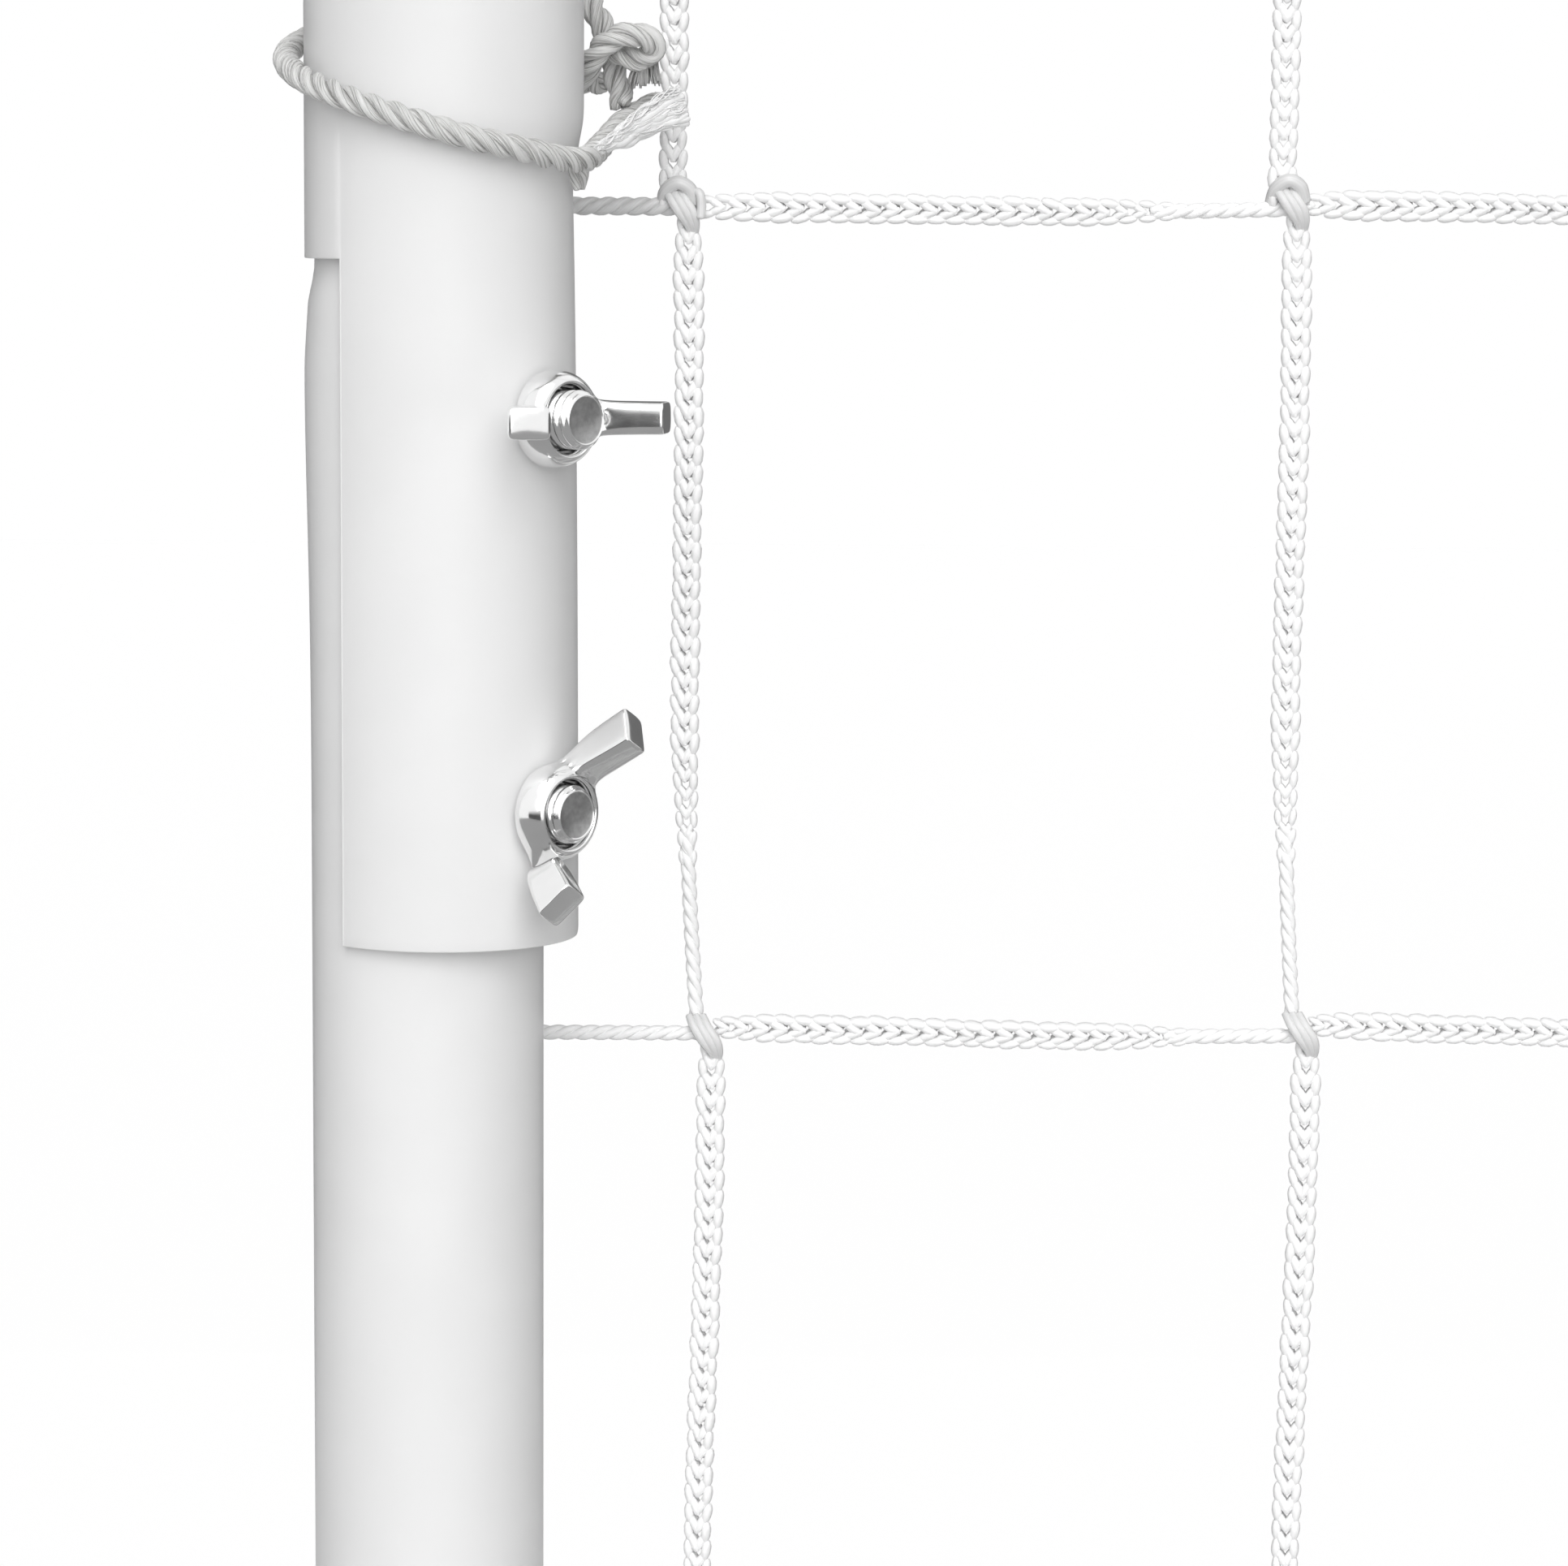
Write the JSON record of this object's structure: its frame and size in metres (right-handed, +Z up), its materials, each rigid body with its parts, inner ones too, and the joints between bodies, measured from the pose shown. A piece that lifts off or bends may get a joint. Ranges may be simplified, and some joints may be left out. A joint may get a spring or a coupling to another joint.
{
  "type": "volleyball net on poles",
  "caption": "Free-standing volleyball net with sliding tube poles clamped by wing nuts, knitted cord net and twisted lashing ropes.",
  "frame": {"origin": "on the floor, at the bottom centre of the bounding box, halfway between the two poles", "axes": "+X along the net to the right pole, +Y to the back, +Z up; the front of the net faces -Y"},
  "size_m": [3.2158, 0.912, 2.3173],
  "materials": {
    "painted_tube": "semi-gloss white powder coat",
    "bright_zinc": "polished zinc plate",
    "cap_rubber": "matt moulded",
    "cap_plastic": "moulded",
    "net_cord": "knitted white cord",
    "twisted_rope": "twisted three-strand rope"
  },
  "bodies": {
    "base": {"left_base_socket": "painted_tube", "left_foot_tube": "painted_tube", "left_foot_cap_front": "cap_rubber", "left_foot_cap_back": "cap_rubber", "left_lower_tube": "painted_tube", "left_middle_tube": "painted_tube", "left_base_bolt": "bright_zinc", "left_floor_rail": "painted_tube", "right_base_socket": "painted_tube", "right_foot_tube": "painted_tube", "right_foot_cap_front": "cap_rubber", "right_foot_cap_back": "cap_rubber", "right_lower_tube": "painted_tube", "right_middle_tube": "painted_tube", "right_base_bolt": "bright_zinc", "right_floor_rail": "painted_tube", "rail_coupler": "painted_tube"},
    "left_mast": {"left_upper_tube": "painted_tube", "left_top_cap": "cap_plastic", "left_upper_bolt": "bright_zinc", "left_lower_bolt": "bright_zinc", "left_lashing": "twisted_rope", "left_lashing_knot": "twisted_rope", "net": "net_cord", "head_rope": "twisted_rope", "foot_rope": "twisted_rope", "left_side_rope": "twisted_rope", "right_side_rope": "twisted_rope"},
    "right_mast": {"right_upper_tube": "painted_tube", "right_top_cap": "cap_plastic", "right_upper_bolt": "bright_zinc", "right_lower_bolt": "bright_zinc", "right_lashing": "twisted_rope", "right_lashing_knot": "twisted_rope"},
    "left_upper_nut": {"left_upper_wing_nut": "bright_zinc"},
    "left_lower_nut": {"left_lower_wing_nut": "bright_zinc"},
    "left_base_nut": {"left_base_wing_nut": "bright_zinc"},
    "right_upper_nut": {"right_upper_wing_nut": "bright_zinc"},
    "right_lower_nut": {"right_lower_wing_nut": "bright_zinc"},
    "right_base_nut": {"right_base_wing_nut": "bright_zinc"}
  },
  "joints": [
    {"name": "left_height", "type": "slide", "parent": "base", "child": "left_mast", "axis": [0, 0, 1], "range_m": [0, 0.19]},
    {"name": "right_height", "type": "slide", "parent": "base", "child": "right_mast", "axis": [0, 0, 1], "range_m": [0, 0.19]},
    {"name": "left_upper_nut_spin", "type": "hinge", "parent": "left_mast", "child": "left_upper_nut", "pos_m": [-1.5606, -0.01512, 2.0637], "axis": [0.7547, -0.6561, 0], "continuous": true},
    {"name": "left_lower_nut_spin", "type": "hinge", "parent": "left_mast", "child": "left_lower_nut", "pos_m": [-1.5606, -0.01512, 2], "axis": [0.7547, -0.6561, 0], "continuous": true},
    {"name": "left_base_nut_spin", "type": "hinge", "parent": "base", "child": "left_base_nut", "pos_m": [-1.56353, -0.01512, 0.18], "axis": [0.7547, -0.6561, 0], "continuous": true},
    {"name": "right_upper_nut_spin", "type": "hinge", "parent": "right_mast", "child": "right_upper_nut", "pos_m": [1.5606, -0.01512, 2.0637], "axis": [-0.7547, -0.6561, 0], "continuous": true},
    {"name": "right_lower_nut_spin", "type": "hinge", "parent": "right_mast", "child": "right_lower_nut", "pos_m": [1.5606, -0.01512, 2], "axis": [-0.7547, -0.6561, 0], "continuous": true},
    {"name": "right_base_nut_spin", "type": "hinge", "parent": "base", "child": "right_base_nut", "pos_m": [1.56353, -0.01512, 0.18], "axis": [-0.7547, -0.6561, 0], "continuous": true}
  ],
  "couplings": [
    {"joint": "right_height", "follows": "left_height", "ratio": 1}
  ]
}
